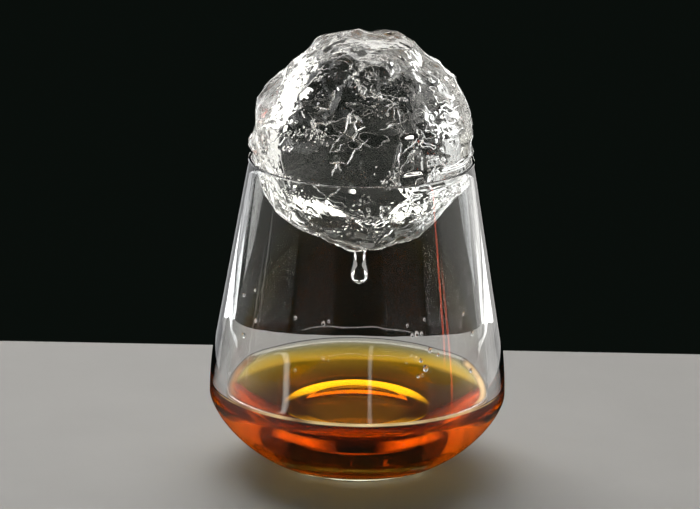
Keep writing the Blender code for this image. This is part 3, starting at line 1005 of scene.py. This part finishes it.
def makeCards(s):
    # Curved sheets round the Z axis: x = d sin(bearing), y = d cos(bearing). "edge" is how far in from the
    # nearest edge a point is, as a share of the card.
    u, v = (np.linspace(0.0, 1.0, count) for count in s["cardSteps"])
    fromEdge = np.minimum.outer(np.minimum(v, 1 - v), np.minimum(u, 1 - u))
    for name, first, last, low, high, distance, brightness, colour, softness in s["cards"]:
        bearing = np.radians(first + (last - first) * u)
        grid = np.empty((len(v), len(u), 3))
        grid[..., 0] = distance * np.sin(bearing)
        grid[..., 1] = distance * np.cos(bearing)
        grid[..., 2] = (low + (high - low) * v)[:, None]
        material = cardMaterial(name, brightness, colour, softness, s["streaks"])
        card = meshObject(name, grid.reshape(-1, 3), gridFaces(len(v), len(u)), material)
        card.data.attributes.new("edge", "FLOAT", "POINT").data.foreach_set("value", fromEdge.ravel())
        hideFromView(card, name not in s["onlyThrough"])


def eased(value, low, high):
    # 3t^2 - 2t^3 between low and high, as the share of the way.
    t = ((value - low) / (high - low)).clip(0.0, 1.0)
    return t * t * (3.0 - 2.0 * t)


def band(value, rise, fall):
    # Eases in over the rise and out again over the fall.
    return eased(value, *rise) * (1.0 - eased(value, *fall))


def unreflected(tree):
    # 1 for a ray that no surface has reflected on its way here, else 0.
    path = tree.nodes.new("ShaderNodeLightPath")
    return mathNode(tree, "LESS_THAN", path.outputs["Glossy Depth"], 0.5)


paintedCaustic = {
    # painted caustic light, glowing in place of the light that the foot and the rum gather on the floor
    # behind: brightness of its parts, the radii in mm between which each one rises and falls, and how far
    # round it reaches, as sines of the turn
    "crescent": 4.7,
    "crescentOuter": 23.6,
    "crescentWidth": 7.5,
    "crescentRise": 0.8,
    "crescentFall": (23.2, 24.2),
    "crescentTurn": (0.10, 0.75),
    "crescentColour": (0.96, 0.97, 1.0),
    "under": 0.20,
    "underFall": (13.0, 17.0),
    "behind": 0.58,
    "behindRise": (43.0, 47.0),
    "behindFall": (46.0, 60.0),
    "behindTurn": (-0.05, 0.30),
    "rightwards": 0.8,
    "front": 1.0,
    "frontRise": (15.8, 17.0),
    "frontFall": (21.6, 22.6),
    "frontTurn": (0.35, 0.8),
    "colour": (1.0, 0.87, 0.85),
    "level": -0.00003,
    "radii": (0.2, 60.0, 200),
    "around": 128,
    "strength": 4.0,
    "baseColour": (0.5, 0.5, 0.48, 1.0),
}


def makePaintedCaustic(g):
    # A disc just over the floor with painted caustic glow on it, seen only through the glass: a painted
    # crescent of light between the circle R = outer and R = outer - width sin(turn), a faint painted pool of
    # light under the foot, a painted patch of light at its front, and a painted band of light behind,
    # stronger towards +X. The glow is kept in the points as a colour, as a share of the strength.
    radius = np.linspace(*g["radii"])[:, None]
    turn = np.linspace(0.0, 2.0 * math.pi, g["around"], endpoint=False)[None, :]
    across = radius * mm
    points = np.stack((across * np.cos(turn), across * np.sin(turn), g["level"] + 0.0 * radius * turn), -1)
    back = np.sin(turn)
    inner = g["crescentOuter"] - g["crescentWidth"] * back.clip(0.0)
    crescent = band(radius, (inner - g["crescentRise"], inner + g["crescentRise"]), g["crescentFall"])
    crescent = g["crescent"] * crescent * eased(back, *g["crescentTurn"])
    under = g["under"] * (1.0 - eased(radius, *g["underFall"]))
    behind = g["behind"] * band(radius, g["behindRise"], g["behindFall"]) * eased(back, *g["behindTurn"])
    behind = behind * (1.0 + g["rightwards"] * np.cos(turn).clip(0.0))
    front = g["front"] * band(radius, g["frontRise"], g["frontFall"]) * eased(-back, *g["frontTurn"])
    # the painted caustic glow of each part, summed as a colour
    glow = np.multiply.outer(under + behind + front, (*g["colour"], 1.0))
    glow = (glow + np.multiply.outer(crescent, (*g["crescentColour"], 1.0))) / g["strength"]
    material, tree, shader = newMaterial("paintedCausticLight")
    shine(tree, shader, unreflected(tree), attribute(tree, "glow")["Color"], g["strength"])
    shader.inputs["Base Color"].default_value = g["baseColour"]
    shader.inputs["Roughness"].default_value = 1.0
    disc = meshObject("paintedCausticLight", points.reshape(-1, 3), ringFaces(*points.shape[:2]), material)
    disc.data.attributes.new("glow", "FLOAT_COLOR", "POINT").data.foreach_set("color", glow.ravel())
    hideFromView(disc, False)


paintedGleams = {
    "ribbons": (
        # painted highlights, ribbons that glow in place of the bright lines where light gathers in the rum's
        # edge and in the foot: name, middle bearing, half turn, lowest point, height, radius (0 for just
        # inside the inner wall), lean inwards at its foot, brightness, colour
        ("edgeGleam", -90.0, 86.0, 23.9 * mm, 1.3 * mm, 0.0, 0.0, 1.25, (1.0, 0.78, 0.42)),
        ("rightGleam", -2.0, 32.0, 23.9 * mm, 1.6 * mm, 0.0, 2.6 * mm, 1.25, (1.0, 0.66, 0.32)),
        ("leftGleam", 178.0, 30.0, 23.9 * mm, 1.4 * mm, 0.0, 3.0 * mm, 0.8, (1.0, 0.40, 0.12)),
        ("footGleam", -90.0, 75.0, 1.4 * mm, 3.6 * mm, 23.0 * mm, 0.0, 3.2, (0.97, 1.0, 0.74)),
    ),
    "offWall": 0.25 * mm,
    "steps": (181, 9),
    "noiseScale": 6.0,
    "noiseOffset": 4.0,
    "noiseSeed": 61,
    "evenness": 0.72,
    "unevenness": 0.28,
    "rightwards": 0.15,
    "fadingEnds": (0.0, 0.25),
}


def makePaintedGleams(g, t):
    # Upright ribbons of painted highlight, seen only through the glass: their glow is sin(pi share)^0.7 up
    # the ribbon, swells with noise and towards +X, and fades at the ends.
    wall = cavityOutline(t)
    for name, middle, halfTurn, low, width, ring, lean, brightness, colour in g["ribbons"]:
        turn = np.radians(np.linspace(middle - halfTurn, middle + halfTurn, g["steps"][0]))
        share = np.linspace(0.0, 1.0, g["steps"][1])[:, None]
        heights = low + width * share
        radii = ring + 0.0 * heights if ring else np.interp(heights, wall[:, 1], wall[:, 0]) - g["offWall"]
        radii = radii - lean * (1.0 - share)
        points = np.stack((radii * np.cos(turn), radii * np.sin(turn), heights + 0.0 * turn), -1)
        swell = lineNoise(turn * g["noiseScale"], g["noiseOffset"], g["noiseSeed"])
        swell = g["evenness"] + g["unevenness"] * swell
        ends = eased(1.0 - np.abs(np.degrees(turn) - middle) / halfTurn, *g["fadingEnds"])
        glow = np.sin(math.pi * share) ** 0.7 * (swell + g["rightwards"] * np.cos(turn)) * ends
        # the painted highlight's emission, shown only to rays that no surface has reflected
        material, tree, shader = newMaterial(name)
        shown = mathNode(tree, "MULTIPLY", attribute(tree, "glow")["Fac"], unreflected(tree))
        shine(tree, shader, shown, (*colour, 1.0), brightness)
        tree.links.new(shown, shader.inputs["Alpha"])
        shader.inputs["Base Color"].default_value = (0.0, 0.0, 0.0, 1.0)
        ribbon = meshObject(name, points.reshape(-1, 3), gridFaces(len(share), len(turn)), material)
        ribbon.data.attributes.new("glow", "FLOAT", "POINT").data.foreach_set("value", glow.ravel())
        hideFromView(ribbon, False)


view = {
    "target": (0.0, 0.0, 0.05),
    "distance": 1.45,
    "lift": 16.67,
    "roll": 1.11,
    "picture": (700, 509),
    "focalPixels": 4666.8,
    "targetPixel": (358.8, 304.8),
    "sensor": 36.0,
    "farthest": 20.0,
    "surround": (0.003, 0.0045, 0.0035),
    "bounces": 24,
    "glossBounces": 8,
    "brightestBounce": 6.0,
}


def makeCamera(s):
    # Right, up and back axes from the lift, rolled, then turned so that the target lands on its pixel.
    lift, roll = math.radians(s["lift"]), math.radians(s["roll"])
    right = Vector((1.0, 0.0, 0.0))
    up = Vector((0.0, math.sin(lift), math.cos(lift)))
    back = Vector((0.0, -math.cos(lift), math.sin(lift)))
    rolledRight = right * math.cos(roll) + up * math.sin(roll)
    rolledUp = up * math.cos(roll) - right * math.sin(roll)
    axes = Matrix((rolledRight, rolledUp, back)).transposed()
    aims = zip(s["targetPixel"], s["picture"])
    yaw, pitch = (math.atan((pixel - size / 2) / s["focalPixels"]) for pixel, size in aims)
    axes = axes @ Matrix.Rotation(pitch, 3, "X") @ Matrix.Rotation(yaw, 3, "Y")
    data = bpy.data.cameras.new("camera")
    data.sensor_width = s["sensor"]
    data.lens = s["focalPixels"] * s["sensor"] / s["picture"][0]
    data.clip_end = s["farthest"]
    camera = bpy.data.objects.new("camera", data)
    camera.matrix_world = Matrix.Translation(Vector(s["target"]) + back * s["distance"]) @ axes.to_4x4()
    bpy.context.scene.collection.objects.link(camera)
    bpy.context.scene.camera = camera


def setLook(s):
    scene = bpy.context.scene
    world = bpy.data.worlds.new("surround")
    scene.world = world
    world.use_nodes = True
    world.node_tree.nodes["Background"].inputs["Color"].default_value = (*s["surround"], 1.0)
    scene.view_settings.view_transform = "Standard"
    scene.cycles.max_bounces = s["bounces"]
    scene.cycles.transmission_bounces = s["bounces"]
    scene.cycles.glossy_bounces = s["glossBounces"]
    scene.cycles.sample_clamp_indirect = s["brightestBounce"]


makeFloor(slab)
makeLamps(lighting)
makeCards(lighting)
makePaintedCaustic(paintedCaustic)
makePaintedGleams(paintedGleams, tumbler)
makeCamera(view)
setLook(view)
print("stage made")
